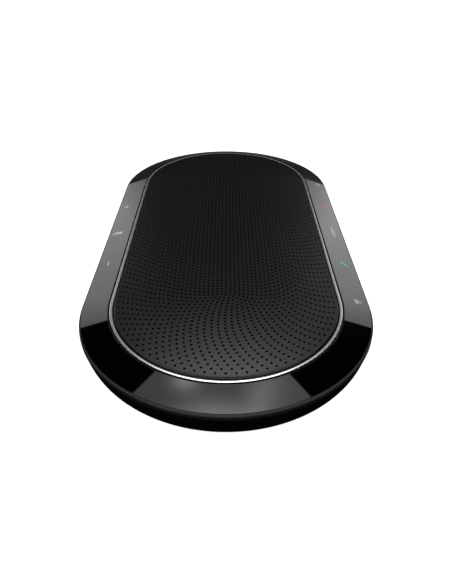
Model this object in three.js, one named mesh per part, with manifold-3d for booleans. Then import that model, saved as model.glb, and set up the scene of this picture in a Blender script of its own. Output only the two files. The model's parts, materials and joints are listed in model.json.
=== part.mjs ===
// A table-top conference speakerphone: a flat, low body with straight long sides and round ends.
// A sloped gloss bezel and a thin chrome ring surround a perforated, slightly domed grille. The middle
// frame shows outside the bezel, as a satin lip that is widest at the two ends.
// Units are millimetres. X runs along the body, -Y is the front, +Z is up. The origin is the centre of
// the footprint on the table.
//
// Every outline is a stadium: all the points at one distance, rho, from the centre segment, which runs
// from -HALF to +HALF along X. A profile is a list of [rho, z] corners.

import * as THREE from "three";
import { mergeVertices } from "three/addons/utils/BufferGeometryUtils.js";
import Module from "manifold-3d";

const wasm = await Module();
wasm.setup();

// ---- Driving dimensions ----

const HALF = 82; // half the distance between the centres of the round ends
const RIM_RHO = 82; // widest edge, on the middle frame's lip
const RIM_TOP = 24.6; // height of the bezel's slope, carried out to that edge
const RING_RHO = 64.4; // where that slope has risen by BEZEL_RISE
const BEZEL_RISE = 5.0;
const BEZEL_HALF = 81.0; // the bezel's outline is a stadium of its own, a little shorter
const BEZEL_RHO = 81.4;
const BEZEL_INNER_RHO = 65.9;
const RING_INNER_RHO = 63.4; // chrome ring
const RING_OUTER_RHO = 65.2;
const DOME_RISE = 4.4; // from the end of the slope up to the grille's ridge
const GAP = 0.3; // clearance between neighbours that touch

const HOUSING_TOP = 22.0;
const HOUSING_FLOOR = 2.0; // underside of the housing
const FLOOR_TOP = 4.6; // inner floor of the housing
const FOOT_FLAT_RHO = 64; // edge of the flat underside
const HOUSING_BULGE = 17.3; // from that edge out to the widest wall
const WALL = 2.2;

const GRILLE_RHO = 63.0;
const GRILLE_SHEET = 1.0;
const BAFFLE_BOTTOM = 24.3;
const BAFFLE_TOP = 26.3;
const MOUNT_FACE = BAFFLE_TOP + GAP; // underside of the parts that lie on the baffle

const ENCLOSURE_HALF = 88;
const ENCLOSURE_RHO = 37;
const ENCLOSURE_BOTTOM = 6.4;
const ENCLOSURE_TOP = 22.6;

const RADIATOR_X = 90; // passive radiators, either side of the driver
const FOOT_RHO = 58.5; // centre line of the rubber foot ring
const FOOT_WIDTH = 8;
const HOUSING_SCREWS = [
  [-70, -FOOT_RHO],
  [70, -FOOT_RHO],
  [-70, FOOT_RHO],
  [70, FOOT_RHO],
  [-HALF - FOOT_RHO, 0],
  [HALF + FOOT_RHO, 0],
];
const LABEL_HALF = { x: 34.7, y: 17.7 };
const DRIVER_SCREW_RADIUS = 35.3;
const DRIVER_SCREW_ANGLES = [45, 135, 225, 315];
const MICROPHONES = [
  [-45, -50],
  [45, -50],
  [-45, 50],
  [45, 50],
  [-132, 0],
  [132, 0],
];

const BOARD_BOTTOM = 7.6;
const BOARD_TOP = 9.2;
const BOARD_HALF_LENGTH = 58;
const BOARD_FRONT = 39;
const BOARD_REAR = 69.6;
const BOARD_SCREWS = [
  [-54, 43],
  [54, 66],
];
const SEAT = BOARD_TOP + 0.1; // underside of the components on the board

// Sockets, with the axis of each mouth at (x, z) and half sizes across it.
const DC_JACK = { x: -33, z: SEAT + 4.5, barrel: 3.2, bore: 2.75, pin: 1, half: 4.5, height: 9 };
const USB_A = { x: -10, z: SEAT + 2.9, width: 6.6, height: 2.9, wall: 0.4, tongue: 0.9, rear: 57.5 };
const USB_C = { x: 12, z: SEAT + 1.65, width: 4.5, height: 1.65, wall: 0.3, tongue: 0.35, rear: 61 };
const AUDIO_JACK = { x: 32, z: SEAT + 3.2, barrel: 2.9, bore: 1.8, half: 3.5, height: 6.4 };

const RECESS_HALF = 44; // the socket recess in the rear wall
const RECESS_BACK = 72.4;
const RECESS_BOTTOM = 8.8;
const RECESS_TOP = 18.8;
const RECESS_WALL = 4;
const SOCKET_MOUTH = RECESS_BACK - 0.2;

const TOUCH_RHO = 72.5; // centre line of the touch boards under the bezel
const TOUCH_WIDTH = 10;
const TOUCH_THICKNESS = 0.8;
const FRONT_TOUCH_LENGTH = 180;
const REAR_TOUCH_LENGTH = 116;
const FRONT_FLEX = { from: 44, to: 54 };
const REAR_FLEX = { from: -56, to: -50 };
const FLEX_THICKNESS = 0.3;

const ARC_SEGMENTS = 16; // per round end
const ROUND_SEGMENTS = 24; // driver and radiators
const SMALL_SEGMENTS = 10; // screws, barrels and bosses

// ---- Materials ----

function material(color, roughness, metalness) {
  return new THREE.MeshStandardMaterial({ color, roughness, metalness });
}

const gloss = material(0x050506, 0.06, 0.0);
const satinBlack = material(0x121213, 0.45, 0.0);
const satinGrey = material(0x3a3a3c, 0.4, 0.1);
const chrome = material(0xd8d8da, 0.08, 1.0);
const grilleMetal = material(0x2b2b2d, 0.42, 0.8);
const cloth = material(0x0a0a0a, 0.95, 0.0);
const innerPlastic = material(0x1d1d1f, 0.6, 0.0);
const rubber = material(0x17171a, 0.85, 0.0);
const steel = material(0x9a9a9e, 0.35, 1.0);
const ferrite = material(0x2a2a2c, 0.7, 0.2);
const paper = material(0x1c1c1c, 0.8, 0.0);
const spiderCloth = material(0xb08a3c, 0.9, 0.0);
const copper = material(0xb06a3a, 0.4, 1.0);
const board = material(0x0f3d22, 0.5, 0.0);
const chip = material(0x161616, 0.5, 0.0);
const shield = material(0xb4b4b0, 0.35, 1.0);
const flexFilm = material(0xb5651d, 0.5, 0.0);
const foam = material(0x242424, 0.95, 0.0);
const labelFilm = material(0x8c8c90, 0.5, 0.2);

// ---- Solids ----

function toSolid(geometry) {
  const bare = geometry.clone();
  bare.deleteAttribute("normal");
  bare.deleteAttribute("uv");
  const merged = mergeVertices(bare, 1e-4);
  const triVerts = new Uint32Array(merged.index.array);
  const vertProperties = merged.attributes.position.array;
  const made = new wasm.Manifold(new wasm.Mesh({ numProp: 3, vertProperties, triVerts }));
  if (made.volume() > 0) return made;
  for (let i = 0; i < triVerts.length; i += 3) {
    [triVerts[i + 1], triVerts[i + 2]] = [triVerts[i + 2], triVerts[i + 1]];
  }
  return new wasm.Manifold(new wasm.Mesh({ numProp: 3, vertProperties, triVerts }));
}

function cut(solid, ...tools) {
  return tools.reduce((left, tool) => left.subtract(tool), solid);
}

function join(solid, ...others) {
  return others.reduce((sum, other) => sum.add(other), solid);
}

function toGeometry(solid) {
  const mesh = solid.getMesh();
  const geometry = new THREE.BufferGeometry();
  geometry.setAttribute("position", new THREE.BufferAttribute(mesh.vertProperties, 3));
  geometry.setIndex(new THREE.BufferAttribute(mesh.triVerts, 1));
  geometry.computeVertexNormals();
  return geometry;
}

function corners(profile) {
  return profile.map(([rho, z]) => new THREE.Vector2(rho, z));
}

// A profile that starts or ends off the axis is closed on itself.
function closed(profile) {
  const first = profile[0];
  const last = profile[profile.length - 1];
  if (first[0] === 0 && last[0] === 0) return profile;
  return [...profile, first];
}

// A body of revolution about the vertical line through (x, y).
function turned(profile, x = 0, y = 0, segments = ROUND_SEGMENTS) {
  const geometry = new THREE.LatheGeometry(corners(closed(profile)), segments);
  return toSolid(geometry.rotateX(Math.PI / 2).translate(x, y, 0));
}

// The same profile swept round a stadium: a lathe whose stations are spread over two half circles,
// with one long step along each straight side.
function stadium(profile, half = HALF) {
  const points = corners(closed(profile));
  const stations = 2 * ARC_SEGMENTS + 2;
  const geometry = new THREE.LatheGeometry(points, stations);
  const position = geometry.attributes.position;
  for (let i = 0; i <= stations; i += 1) {
    const station = i % stations;
    const right = station <= ARC_SEGMENTS;
    const step = right ? station : station - ARC_SEGMENTS - 1;
    const angle = (right ? -Math.PI / 2 : Math.PI / 2) + (Math.PI * step) / ARC_SEGMENTS;
    const centre = right ? half : -half;
    points.forEach((point, j) => {
      const x = centre + point.x * Math.cos(angle);
      const y = point.x * Math.sin(angle);
      position.setXYZ(i * points.length + j, x, y, point.y);
    });
  }
  return toSolid(geometry);
}

function block([x0, y0, z0], [x1, y1, z1]) {
  const geometry = new THREE.BoxGeometry(x1 - x0, y1 - y0, z1 - z0);
  return toSolid(geometry.translate((x0 + x1) / 2, (y0 + y1) / 2, (z0 + z1) / 2));
}

// An upright cylinder.
function post(x, y, radius, bottom, top, segments = SMALL_SEGMENTS) {
  const geometry = new THREE.CylinderGeometry(radius, radius, top - bottom, segments);
  return toSolid(geometry.rotateX(Math.PI / 2).translate(x, y, (bottom + top) / 2));
}

// A cylinder along Y.
function barrel(x, z, radius, from, to, segments = SMALL_SEGMENTS) {
  const geometry = new THREE.CylinderGeometry(radius, radius, to - from, segments);
  return toSolid(geometry.translate(x, (from + to) / 2, z));
}

// Points of an elliptical arc, from one angle to another in degrees.
function arc(rho, z, radiusRho, radiusZ, from, to, steps) {
  return Array.from({ length: steps + 1 }, (_, i) => {
    const angle = THREE.MathUtils.degToRad(from + ((to - from) * i) / steps);
    return [rho + radiusRho * Math.cos(angle), z + radiusZ * Math.sin(angle)];
  });
}

const speakerphone = new THREE.Group();

function piece(name, solid, finish) {
  const mesh = new THREE.Mesh(toGeometry(solid), finish);
  mesh.name = name;
  speakerphone.add(mesh);
}

// ---- Surfaces that several pieces follow ----

const BEZEL_SLOPE = BEZEL_RISE / (RIM_RHO - RING_RHO);
const BEZEL_TILT = Math.atan(BEZEL_SLOPE);
const BEZEL_EDGE = { rho: 79.4, z: 23.95 }; // where the bezel's sloped underside turns level
const BEYOND_RHO = 84; // outside every edge
const BEYOND_TOP = 40; // above every surface

function bezelTop(rho) {
  return RIM_TOP + (RIM_RHO - rho) * BEZEL_SLOPE;
}

function bezelUnderside(rho) {
  return BEZEL_EDGE.z + (BEZEL_EDGE.rho - rho) * BEZEL_SLOPE;
}

function domeTop(rho) {
  return RIM_TOP + BEZEL_RISE + DOME_RISE * (1 - (rho / RING_RHO) ** 2);
}

// Points of the dome from the centre line out to rho, lowered by a given depth.
function domeLine(rho, depth, steps) {
  return Array.from({ length: steps + 1 }, (_, i) => {
    const at = (rho * i) / steps;
    return [at, domeTop(at) - depth];
  });
}

// ---- Housing ----

function tongueSocketHole({ x, z, width, height }, from, to) {
  const across = width + GAP;
  const up = height + GAP;
  return block([x - across, from, z - up], [x + across, to, z + up]);
}

function socketHoles() {
  const from = RECESS_BACK - RECESS_WALL;
  const to = RECESS_BACK + 1;
  return [
    barrel(DC_JACK.x, DC_JACK.z, DC_JACK.barrel + GAP, from, to),
    tongueSocketHole(USB_A, from, to),
    tongueSocketHole(USB_C, from, to),
    barrel(AUDIO_JACK.x, AUDIO_JACK.z, AUDIO_JACK.barrel + GAP, from, to),
  ];
}

function bottomHousing() {
  const height = HOUSING_TOP - HOUSING_FLOOR;
  const outline = arc(FOOT_FLAT_RHO, HOUSING_TOP, HOUSING_BULGE, height, 0, -90, 6);
  const outer = stadium([[0, HOUSING_TOP], ...outline, [0, HOUSING_FLOOR]]);
  const depth = HOUSING_TOP - FLOOR_TOP;
  const innerRho = FOOT_FLAT_RHO - 1.8;
  const innerBulge = HOUSING_BULGE + 1.8 - WALL;
  const innerLine = arc(innerRho, HOUSING_TOP, innerBulge, depth, 0, -90, 6);
  const innerTop = HOUSING_TOP + 1;
  const inner = stadium([[0, innerTop], [innerLine[0][0], innerTop], ...innerLine, [0, FLOOR_TOP]]);
  const side = RECESS_HALF + RECESS_WALL;
  const recessBlock = block([-side, 70.2, FLOOR_TOP - 1], [side, 82, 20.1]).intersect(outer);
  const recess = block([-RECESS_HALF, RECESS_BACK, RECESS_BOTTOM], [RECESS_HALF, 90, RECESS_TOP]);
  const groove = FOOT_WIDTH / 2 + GAP;
  const footGroove = stadium([
    [FOOT_RHO - groove, HOUSING_FLOOR - 1],
    [FOOT_RHO + groove, HOUSING_FLOOR - 1],
    [FOOT_RHO + groove, HOUSING_FLOOR + 0.8],
    [FOOT_RHO - groove, HOUSING_FLOOR + 0.8],
  ]);
  const labelLow = [-LABEL_HALF.x - GAP, -LABEL_HALF.y - GAP, HOUSING_FLOOR - 1];
  const labelHigh = [LABEL_HALF.x + GAP, LABEL_HALF.y + GAP, HOUSING_FLOOR + 0.7];
  const labelRecess = block(labelLow, labelHigh);
  const pads = HOUSING_SCREWS.map(([x, y]) => post(x, y, 4.6, FLOOR_TOP - 1, 7));
  const counterbores = HOUSING_SCREWS.map(([x, y]) => post(x, y, 3, 0, FLOOR_TOP));
  const throughHoles = HOUSING_SCREWS.map(([x, y]) => post(x, y, 1.6, 0, 8));
  const pillars = BOARD_SCREWS.map(([x, y]) => post(x, y, 2.6, FLOOR_TOP - 1, BOARD_BOTTOM - GAP));
  const pilots = BOARD_SCREWS.map(([x, y]) => post(x, y, 1.3, FLOOR_TOP, 8));
  const shell = join(cut(outer, inner), recessBlock, ...pads, ...pillars);
  const tools = [recess, footGroove, labelRecess, ...socketHoles()];
  return cut(shell, ...tools, ...counterbores, ...throughHoles, ...pilots);
}

function footRing() {
  const inner = FOOT_RHO - FOOT_WIDTH / 2;
  const outer = FOOT_RHO + FOOT_WIDTH / 2;
  const top = HOUSING_FLOOR + 0.5;
  return stadium([
    [inner, top],
    [inner, 0.6],
    [inner + 0.6, 0],
    [outer - 0.6, 0],
    [outer, 0.6],
    [outer, top],
  ]);
}

function ratingLabel() {
  const { x, y } = LABEL_HALF;
  return block([-x, -y, HOUSING_FLOOR], [x, y, HOUSING_FLOOR + 0.4]);
}

// A screw that stands head down at the given point, with a hexagonal socket in the head.
function screwFromBelow(x, y, headBottom, headRadius, headHeight, shankRadius, length) {
  const seat = headBottom + headHeight;
  const turnedScrew = turned(
    [
      [0, headBottom],
      [headRadius, headBottom],
      [headRadius, seat],
      [shankRadius, seat],
      [shankRadius, seat + length],
      [0, seat + length],
    ],
    x,
    y,
    SMALL_SEGMENTS,
  );
  return cut(turnedScrew, post(x, y, headRadius / 2, headBottom - 1, headBottom + headHeight / 2, 6));
}

function screwFromAbove(x, y, seat, headRadius, headHeight, shankRadius, length) {
  const top = seat + headHeight;
  const turnedScrew = turned(
    [
      [0, top],
      [headRadius, top],
      [headRadius, seat],
      [shankRadius, seat],
      [shankRadius, seat - length],
      [0, seat - length],
    ],
    x,
    y,
    SMALL_SEGMENTS,
  );
  return cut(turnedScrew, post(x, y, headRadius / 2, top - headHeight / 2, top + 1, 6));
}

// ---- Frame, bezel, chrome ring and grille ----

// A strip that lies along the bezel's slope, between two depths below its underside.
function slopedStrip(side, halfLength, halfWidth, depthTop, depthBottom) {
  const geometry = new THREE.BoxGeometry(2 * halfLength, 2 * halfWidth, depthBottom - depthTop);
  geometry.translate(0, 0, -(depthTop + depthBottom) / 2);
  geometry.rotateX(-side * BEZEL_TILT);
  return toSolid(geometry.translate(0, side * TOUCH_RHO, bezelUnderside(TOUCH_RHO)));
}

// Everything inside the bezel's outline, grown by a margin.
function insideBezel(margin) {
  const edge = BEZEL_RHO + margin;
  const outline = [
    [0, HOUSING_TOP],
    [edge, HOUSING_TOP],
    [edge, BEYOND_TOP],
    [0, BEYOND_TOP],
  ];
  return stadium(outline, BEZEL_HALF);
}

function midFrame() {
  const bottom = HOUSING_TOP + GAP;
  const tongueBottom = HOUSING_TOP - 1.6; // the tongue stands just inside the housing's wall
  const seatZ = 26.6; // channel floor under the chrome ring and the grille's edge
  const frameTop = BEZEL_INNER_RHO + 0.5;
  const lipOuter = RIM_RHO - 0.2;
  const ring = stadium([
    [RIM_RHO, bottom],
    [RIM_RHO, RIM_TOP - 0.3],
    [lipOuter, bezelTop(lipOuter)],
    [frameTop, bezelTop(frameTop)],
    [frameTop, seatZ],
    [62, seatZ],
    [62, BAFFLE_BOTTOM - GAP],
    [58, BAFFLE_BOTTOM - GAP],
    [58, bottom],
    [76.8, bottom],
    [76.8, tongueBottom],
    [78.4, tongueBottom],
    [78.4, bottom],
  ]);
  const bezelBed = stadium([
    [62, bezelUnderside(62) - GAP],
    [BEZEL_EDGE.rho, BEZEL_EDGE.z - GAP],
    [BEYOND_RHO, BEZEL_EDGE.z - GAP],
    [BEYOND_RHO, BEYOND_TOP],
    [62, BEYOND_TOP],
  ]).intersect(insideBezel(GAP));
  const bosses = HOUSING_SCREWS.map(([x, y]) => post(x, y, 4, 7.3, 23));
  const pilots = HOUSING_SCREWS.map(([x, y]) => post(x, y, 1.5, 7, 18));
  const halfWidth = TOUCH_WIDTH / 2 + GAP;
  const pocketDepth = 2 * GAP + TOUCH_THICKNESS;
  const pockets = [
    slopedStrip(-1, FRONT_TOUCH_LENGTH / 2 + GAP, halfWidth, -1, pocketDepth),
    slopedStrip(1, REAR_TOUCH_LENGTH / 2 + GAP, halfWidth, -1, pocketDepth),
  ];
  const slots = [
    block([FRONT_FLEX.from - 0.5, -71, 20], [FRONT_FLEX.to + 0.5, -69, 27]),
    block([REAR_FLEX.from - 0.5, 69, 20], [REAR_FLEX.to + 0.5, 71, 27]),
  ];
  return cut(join(cut(ring, bezelBed), ...bosses), ...pilots, ...pockets, ...slots);
}

function bezel() {
  const slope = stadium([
    [BEZEL_INNER_RHO, bezelTop(BEZEL_INNER_RHO)],
    [BEZEL_INNER_RHO, bezelUnderside(BEZEL_INNER_RHO)],
    [BEZEL_EDGE.rho, BEZEL_EDGE.z],
    [BEYOND_RHO, BEZEL_EDGE.z],
    [BEYOND_RHO, bezelTop(BEYOND_RHO)],
  ]);
  return slope.intersect(insideBezel(0));
}

function chromeRing() {
  const bottom = 26.9;
  const shoulder = 29.0;
  const halfWidth = (RING_OUTER_RHO - RING_INNER_RHO) / 2;
  const crown = arc(RING_INNER_RHO + halfWidth, shoulder, halfWidth, 0.4, 0, 180, 6);
  return stadium([[RING_INNER_RHO, bottom], [RING_OUTER_RHO, bottom], ...crown]);
}

function grille() {
  const top = domeLine(GRILLE_RHO - 0.7, 0, 6);
  const underside = domeLine(GRILLE_RHO - GRILLE_SHEET, GRILLE_SHEET, 5).reverse();
  const edgeTop = domeTop(GRILLE_RHO) - 0.6;
  const skirtBottom = 26.9;
  const skirtInner = GRILLE_RHO - 0.8;
  const skirt = [
    [GRILLE_RHO, edgeTop],
    [GRILLE_RHO, skirtBottom],
    [skirtInner, skirtBottom],
  ];
  return stadium([...top, ...skirt, ...underside]);
}

function grilleCloth() {
  const top = domeLine(61, GRILLE_SHEET + 0.3, 5);
  const underside = domeLine(61, GRILLE_SHEET + 0.7, 5).reverse();
  return stadium([...top, ...underside]);
}

function speakerBaffle() {
  const plate = stadium([
    [0, BAFFLE_BOTTOM],
    [61.2, BAFFLE_BOTTOM],
    [61.2, 27.6],
    [59.4, 27.6],
    [59.4, BAFFLE_TOP],
    [0, BAFFLE_TOP],
  ]);
  const openings = [
    post(0, 0, 32.6, 20, 30, ROUND_SEGMENTS),
    post(-RADIATOR_X, 0, 25.5, 20, 30, ROUND_SEGMENTS),
    post(RADIATOR_X, 0, 25.5, 20, 30, ROUND_SEGMENTS),
  ];
  const screwHoles = driverScrewPoints().map(([x, y]) => post(x, y, 1.5, 20, 30));
  return cut(plate, ...openings, ...screwHoles);
}

// ---- Loudspeaker ----

function driverScrewPoints() {
  return DRIVER_SCREW_ANGLES.map((degrees) => {
    const angle = THREE.MathUtils.degToRad(degrees);
    return [DRIVER_SCREW_RADIUS * Math.cos(angle), DRIVER_SCREW_RADIUS * Math.sin(angle)];
  });
}

function enclosureCup() {
  const cup = stadium(
    [
      [0, ENCLOSURE_BOTTOM],
      [ENCLOSURE_RHO - 1, ENCLOSURE_BOTTOM],
      [ENCLOSURE_RHO, ENCLOSURE_BOTTOM + 1],
      [ENCLOSURE_RHO, ENCLOSURE_TOP],
      [ENCLOSURE_RHO - 1.6, ENCLOSURE_TOP],
      [ENCLOSURE_RHO - 1.6, ENCLOSURE_BOTTOM + 1.4],
      [0, ENCLOSURE_BOTTOM + 1.4],
    ],
    ENCLOSURE_HALF,
  );
  return cut(cup, barrel(2, 19, 2.2, 34, 38));
}

function enclosureGasket() {
  return stadium(
    [
      [ENCLOSURE_RHO - 1.5, ENCLOSURE_TOP + GAP],
      [ENCLOSURE_RHO - 0.1, ENCLOSURE_TOP + GAP],
      [ENCLOSURE_RHO - 0.1, BAFFLE_BOTTOM - GAP],
      [ENCLOSURE_RHO - 1.5, BAFFLE_BOTTOM - GAP],
    ],
    ENCLOSURE_HALF,
  );
}

const FLANGE_TOP = MOUNT_FACE + 1.2;

function driverBasket() {
  const body = turned([
    [9.2, 15.5],
    [21.7, 15.5],
    [31.4, MOUNT_FACE],
    [38, MOUNT_FACE],
    [38, FLANGE_TOP],
    [29.4, FLANGE_TOP],
    [20.3, 16.6],
    [9.2, 16.6],
  ]);
  const windows = [0, 1].map((turn) => {
    const reach = new THREE.BoxGeometry(80, 16, 5.4).rotateZ((turn * Math.PI) / 2).translate(0, 0, 21.6);
    return toSolid(reach);
  });
  const screwHoles = driverScrewPoints().map(([x, y]) => post(x, y, 1.6, 26, 29));
  return cut(body, ...windows, ...screwHoles);
}

function driverYoke() {
  return turned([
    [0, 8.1],
    [17, 8.1],
    [17, 9.9],
    [7.1, 9.9],
    [7.1, 15.3],
    [0, 15.3],
  ]);
}

function tube(inner, outer, bottom, top) {
  return turned([
    [inner, bottom],
    [outer, bottom],
    [outer, top],
    [inner, top],
  ]);
}

// The spider is a disc pressed into shallow concentric waves.
function driverSpider() {
  const waves = 5;
  const line = Array.from({ length: waves + 1 }, (_, i) => {
    const wave = i === 0 || i === waves ? 0 : (i % 2 ? 0.5 : -0.5);
    return [8.6 + (12.0 * i) / waves, 18 + wave];
  });
  const top = line.map(([rho, z]) => [rho, z + 0.2]);
  const underside = line.map(([rho, z]) => [rho, z - 0.2]).reverse();
  return turned([...top, ...underside]);
}

// A half-round roll between a flat inner lip and a flat outer lip.
function rollSurround(lipInner, rollInner, rollOuter, lipOuter, lipBottom, x = 0) {
  const centre = (rollInner + rollOuter) / 2;
  const radius = (rollOuter - rollInner) / 2;
  const sheet = 0.4;
  const over = arc(centre, lipBottom + sheet, radius, radius, 180, 0, 5);
  const under = arc(centre, lipBottom, radius - sheet, radius - sheet, 0, 180, 5);
  const profile = [
    [lipInner, lipBottom],
    [lipInner, lipBottom + sheet],
    ...over,
    [lipOuter, lipBottom + sheet],
    [lipOuter, lipBottom],
    ...under,
  ];
  return turned(profile, x);
}

function driverCone() {
  return turned([
    [8.6, 18.9],
    [25.4, 26.4],
    [26.5, 26.7],
    [26.5, 27.4],
    [25.2, 27.3],
    [8.6, 19.8],
  ]);
}

function driverDustCap() {
  const radius = 12;
  const rim = 21.9;
  const crown = 2.9;
  const steps = 3;
  const line = Array.from({ length: steps + 1 }, (_, i) => {
    const rho = (radius * i) / steps;
    return [rho, rim + crown * (1 - (rho / radius) ** 2)];
  });
  const top = line.map(([rho, z]) => [rho, z + 0.5]);
  return turned([...top, ...line.reverse()]);
}

function radiatorFrame(x) {
  const profile = [
    [24.2, MOUNT_FACE],
    [31, MOUNT_FACE],
    [31, FLANGE_TOP],
    [24.2, FLANGE_TOP],
  ];
  return turned(profile, x);
}

function radiatorPlate(x) {
  const profile = [
    [0, 24.8],
    [9, 24.8],
    [9, 26.2],
    [18.9, 26.2],
    [18.9, 27.5],
    [0, 27.5],
  ];
  return turned(profile, x);
}

function microphone(x, y) {
  const profile = [
    [0, MOUNT_FACE],
    [4.5, MOUNT_FACE],
    [4.5, MOUNT_FACE + 1.8],
    [3, MOUNT_FACE + 2.3],
    [1, MOUNT_FACE + 2.3],
    [1, MOUNT_FACE + 1.2],
    [0, MOUNT_FACE + 1.2],
  ];
  return turned(profile, x, y, SMALL_SEGMENTS);
}

// ---- Electronics ----

const SOCKET_FACE = RECESS_BACK - RECESS_WALL + 1.5; // front of the socket bodies, inside the wall

function mainBoard() {
  const low = [-BOARD_HALF_LENGTH, BOARD_FRONT, BOARD_BOTTOM];
  const high = [BOARD_HALF_LENGTH, BOARD_REAR, BOARD_TOP];
  const plate = block(low, high);
  const holes = BOARD_SCREWS.map(([x, y]) => post(x, y, 1.5, 0, 20));
  return cut(plate, ...holes);
}

function shieldCan() {
  const can = block([-44, 41, SEAT], [-18, 55, SEAT + 3]);
  return cut(can, block([-43.6, 41.4, SEAT - 1], [-18.4, 54.6, SEAT + 2.6]));
}

// A block that sits on the board, with a round nose out to the socket's mouth.
function roundSocketBody(socket, rear) {
  const { x, z, half, height } = socket;
  return join(
    block([x - half, rear, SEAT], [x + half, SOCKET_FACE, SEAT + height]),
    barrel(x, z, socket.barrel, SOCKET_FACE - 1, SOCKET_MOUTH),
  );
}

function dcJack() {
  const { x, z, bore, pin } = DC_JACK;
  const hollow = barrel(x, z, bore, 61, SOCKET_MOUTH + 1);
  return join(cut(roundSocketBody(DC_JACK, 57), hollow), barrel(x, z, pin, 60, SOCKET_MOUTH - 0.6));
}

// A rectangular socket: a metal shell round a plastic tongue.
function tongueSocket({ x, z, width, height, wall, tongue, rear }) {
  const shell = block([x - width, rear, z - height], [x + width, SOCKET_MOUTH, z + height]);
  const across = width - wall;
  const up = height - wall;
  const hollow = block([x - across, rear + 4, z - up], [x + across, SOCKET_MOUTH + 1, z + up]);
  const tongueWidth = across - 0.8;
  const low = [x - tongueWidth, rear + 3, z - tongue];
  const high = [x + tongueWidth, SOCKET_MOUTH - 1, z + tongue];
  return join(cut(shell, hollow), block(low, high));
}

function audioJack() {
  const { x, z, bore } = AUDIO_JACK;
  return cut(roundSocketBody(AUDIO_JACK, 58), barrel(x, z, bore, 60, SOCKET_MOUTH + 1));
}

function touchBoard(side, length) {
  return slopedStrip(side, length / 2, TOUCH_WIDTH / 2, GAP, GAP + TOUCH_THICKNESS);
}

// A flat ribbon whose route lies in one YZ plane, given by the corners of its centre line.
function ribbon(route, { from, to }) {
  const half = FLEX_THICKNESS / 2;
  const offset = (sign) =>
    route.map(([y, z], i) => {
      const before = route[Math.max(i - 1, 0)];
      const after = route[Math.min(i + 1, route.length - 1)];
      const along = new THREE.Vector2(after[0] - before[0], after[1] - before[1]).normalize();
      return new THREE.Vector2(y - sign * half * along.y, z + sign * half * along.x);
    });
  const shape = new THREE.Shape([...offset(1), ...offset(-1).reverse()]);
  const geometry = new THREE.ExtrudeGeometry(shape, { depth: to - from, bevelEnabled: false });
  geometry.rotateX(Math.PI / 2);
  geometry.rotateZ(Math.PI / 2);
  return toSolid(geometry.translate(from, 0, 0));
}

function speakerLead() {
  const route = new THREE.CatmullRomCurve3([
    new THREE.Vector3(-4, 27.8, 21.6),
    new THREE.Vector3(-1, 32, 20.2),
    new THREE.Vector3(2, 36.2, 19),
    new THREE.Vector3(7, 41, 17),
    new THREE.Vector3(13, 44, 13.6),
    new THREE.Vector3(15, 45, 10.4),
  ]);
  const section = new THREE.Shape().absarc(0, 0, 0.9, 0, 2 * Math.PI);
  const options = { steps: 14, curveSegments: 4, extrudePath: route, bevelEnabled: false };
  return toSolid(new THREE.ExtrudeGeometry(section, options));
}

// ---- Assembly ----

piece("bottom_housing", bottomHousing(), satinBlack);
piece("foot_ring", footRing(), rubber);
piece("rating_label", ratingLabel(), labelFilm);
HOUSING_SCREWS.forEach(([x, y], i) => {
  piece(`housing_screw_${i + 1}`, screwFromBelow(x, y, 2.9, 2.6, 1.4, 1.2, 13), steel);
});

piece("mid_frame", midFrame(), satinGrey);
piece("bezel", bezel(), gloss);
piece("chrome_ring", chromeRing(), chrome);
piece("grille", grille(), grilleMetal);
piece("grille_cloth", grilleCloth(), cloth);
piece("speaker_baffle", speakerBaffle(), innerPlastic);

piece("enclosure_cup", enclosureCup(), innerPlastic);
piece("enclosure_gasket", enclosureGasket(), foam);
piece("driver_basket", driverBasket(), satinGrey);
piece("driver_yoke", driverYoke(), steel);
piece("driver_magnet", tube(10.5, 18.5, 10.2, 13.2), ferrite);
piece("driver_top_plate", tube(8.7, 17, 13.5, 15.2), steel);
piece("driver_voice_coil", tube(7.5, 8.2, 12.4, 19.6), copper);
piece("driver_spider", driverSpider(), spiderCloth);
piece("driver_cone", driverCone(), paper);
piece("driver_dust_cap", driverDustCap(), paper);
piece("driver_surround", rollSurround(25.5, 26.9, 31, 33, FLANGE_TOP + GAP), rubber);
driverScrewPoints().forEach(([x, y], i) => {
  piece(`driver_screw_${i + 1}`, screwFromAbove(x, y, FLANGE_TOP + GAP, 2.1, 1.4, 1.1, 3.4), steel);
});

["left", "right"].forEach((side, i) => {
  const x = i === 0 ? -RADIATOR_X : RADIATOR_X;
  piece(`radiator_frame_${side}`, radiatorFrame(x), satinGrey);
  piece(`radiator_surround_${side}`, rollSurround(17.6, 19.4, 23.4, 26.5, FLANGE_TOP + GAP, x), rubber);
  piece(`radiator_plate_${side}`, radiatorPlate(x), paper);
});

MICROPHONES.forEach(([x, y], i) => {
  piece(`microphone_${i + 1}`, microphone(x, y), rubber);
});

piece("main_board", mainBoard(), board);
piece("shield_can", shieldCan(), shield);
piece("codec_chip", block([-12, 44, SEAT], [-4, 52, SEAT + 1.1]), chip);
piece("amplifier_chip", block([1, 47, SEAT], [11, 56, SEAT + 1.2]), chip);
piece("wireless_module", block([17, 47, SEAT], [33, 56, SEAT + 2.2]), shield);
piece("capacitor", post(43, 52, 3.2, SEAT, SEAT + 7, 16), chip);
piece("dc_jack", dcJack(), chip);
piece("usb_a_socket", tongueSocket(USB_A), shield);
piece("usb_c_socket", tongueSocket(USB_C), shield);
piece("audio_jack", audioJack(), chip);
BOARD_SCREWS.forEach(([x, y], i) => {
  piece(`board_screw_${i + 1}`, screwFromAbove(x, y, BOARD_TOP + GAP, 2.2, 1.4, 1, 4), steel);
});

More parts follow.
